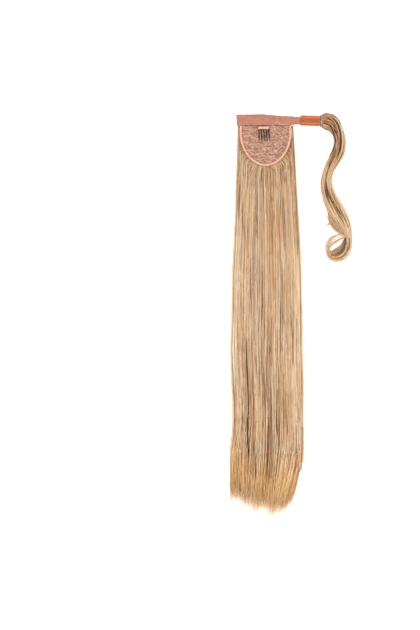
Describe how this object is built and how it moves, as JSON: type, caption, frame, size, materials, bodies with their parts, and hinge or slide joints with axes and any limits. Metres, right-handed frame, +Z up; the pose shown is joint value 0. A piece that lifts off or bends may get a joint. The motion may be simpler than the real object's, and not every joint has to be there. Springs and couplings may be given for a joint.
{
  "type": "wrap-around ponytail hairpiece",
  "caption": "Clip-in wrap-around ponytail hairpiece with a lace base, comb, hook and loop strap and a loose wrap strand.",
  "frame": {"origin": "middle of the footprint, on the surface that the hairpiece lies on", "axes": "+Y from the tips to the strap, +X along the strap towards the tab and the wrap strand, +Z up from the surface, out of the base's inner side"},
  "size_m": [0.1812, 0.6044, 0.019],
  "materials": {
    "hair": "straight heat-resistant fibre with a satin gloss, honey to ash blonde",
    "loop_fabric": "napped dusty pink loop fabric",
    "hook_tape": "woven orange-brown hook tape",
    "lace": "beige-pink stretch lace with raised zigzag ribs",
    "binding": "soft rolled binding",
    "cuff": "stitched and frayed fold of fabric",
    "comb_metal": "dark gunmetal wire"
  },
  "bodies": {
    "root": {"strap": "loop_fabric", "hook_patch_inner": "hook_tape", "hook_patch_outer": "hook_tape", "net_panel": "lace", "edge_binding": "binding", "comb_teeth": "comb_metal", "comb_sleeve": "loop_fabric", "hair_tier_outer": "hair", "hair_tier_middle": "hair", "hair_tier_inner": "hair", "strand_cuff": "cuff", "wrap_strand": "hair"}
  },
  "joints": []
}
